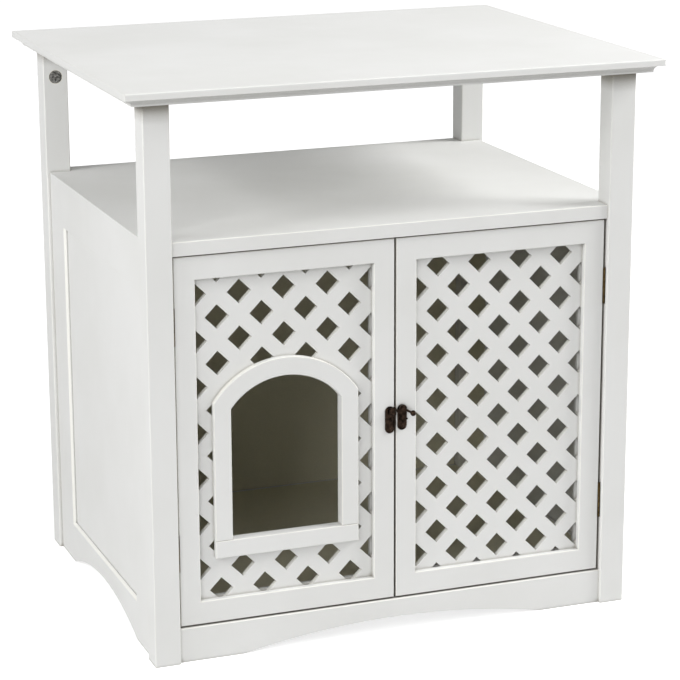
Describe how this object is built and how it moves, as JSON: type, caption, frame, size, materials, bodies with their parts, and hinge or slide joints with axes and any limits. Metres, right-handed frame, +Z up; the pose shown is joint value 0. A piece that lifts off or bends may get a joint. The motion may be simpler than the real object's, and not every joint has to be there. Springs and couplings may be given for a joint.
{
  "type": "cat litter box cabinet",
  "caption": "White table-topped cabinet with an open shelf, paired lattice doors and an arched cat entry through the left door.",
  "frame": {"origin": "on the floor under the middle of the table top", "axes": "+Z up, +X to the right seen from the front, +Y to the back, so the doors face -Y"},
  "size_m": [0.6, 0.475, 0.62],
  "materials": {
    "white_paint": "satin white paint on board",
    "white_lattice": "satin white paint on cut board",
    "back_board": "unpainted hardboard in shade",
    "raw_wood": "plain beech",
    "cam_zinc": "cast zinc alloy",
    "bolt_steel": "zinc-plated steel",
    "hinge_brass": "plain brass, a little dulled",
    "latch_bronze": "dark antique bronze"
  },
  "bodies": {
    "cabinet": {"table_top": "white_paint", "front_left_leg": "white_paint", "front_right_leg": "white_paint", "back_left_leg": "white_paint", "back_right_leg": "white_paint", "shelf_board": "white_paint", "floor_board": "white_paint", "front_apron": "white_paint", "back_rail": "white_paint", "back_panel": "back_board", "door_stop": "white_paint", "left_side_front_stile": "white_paint", "left_side_back_stile": "white_paint", "left_side_top_rail": "white_paint", "left_side_bottom_rail": "white_paint", "left_side_panel": "white_paint", "right_side_front_stile": "white_paint", "right_side_back_stile": "white_paint", "right_side_top_rail": "white_paint", "right_side_bottom_rail": "white_paint", "right_side_panel": "white_paint", "cam_locks": "cam_zinc", "cam_bolts": "bolt_steel", "wood_dowels": "raw_wood", "door_stop_screws": "bolt_steel", "frame_hinge_leaves": "hinge_brass", "hinge_pins": "hinge_brass", "frame_hinge_screws": "hinge_brass"},
    "left_door": {"left_door_hinge_stile": "white_paint", "left_door_meeting_stile": "white_paint", "left_door_top_rail": "white_paint", "left_door_bottom_rail": "white_paint", "left_door_lattice": "white_lattice", "left_door_hinge_leaves": "hinge_brass", "left_door_hinge_screws": "hinge_brass", "entry_arch_head": "white_paint", "entry_left_jamb": "white_paint", "entry_right_jamb": "white_paint", "entry_sill": "white_paint", "catch_plate": "latch_bronze", "catch_plate_screws": "latch_bronze"},
    "right_door": {"right_door_hinge_stile": "white_paint", "right_door_meeting_stile": "white_paint", "right_door_top_rail": "white_paint", "right_door_bottom_rail": "white_paint", "right_door_lattice": "white_lattice", "right_door_hinge_leaves": "hinge_brass", "right_door_hinge_screws": "hinge_brass", "latch_plate": "latch_bronze", "latch_plate_screw": "latch_bronze", "latch_rivet": "latch_bronze"},
    "latch_lever": {"latch_lever": "latch_bronze"}
  },
  "joints": [
    {"name": "left_door_hinge", "type": "hinge", "parent": "cabinet", "child": "left_door", "pos_m": [-0.24645, -0.209, 0.24175], "axis": [0, 0, -1], "range_deg": [0, 95]},
    {"name": "right_door_hinge", "type": "hinge", "parent": "cabinet", "child": "right_door", "pos_m": [0.24645, -0.209, 0.24175], "axis": [0, 0, 1], "range_deg": [0, 95]},
    {"name": "latch_lever_pivot", "type": "hinge", "parent": "right_door", "child": "latch_lever", "pos_m": [0.0076, -0.2118, 0.256], "axis": [0, 1, 0], "range_deg": [0, 75]}
  ]
}
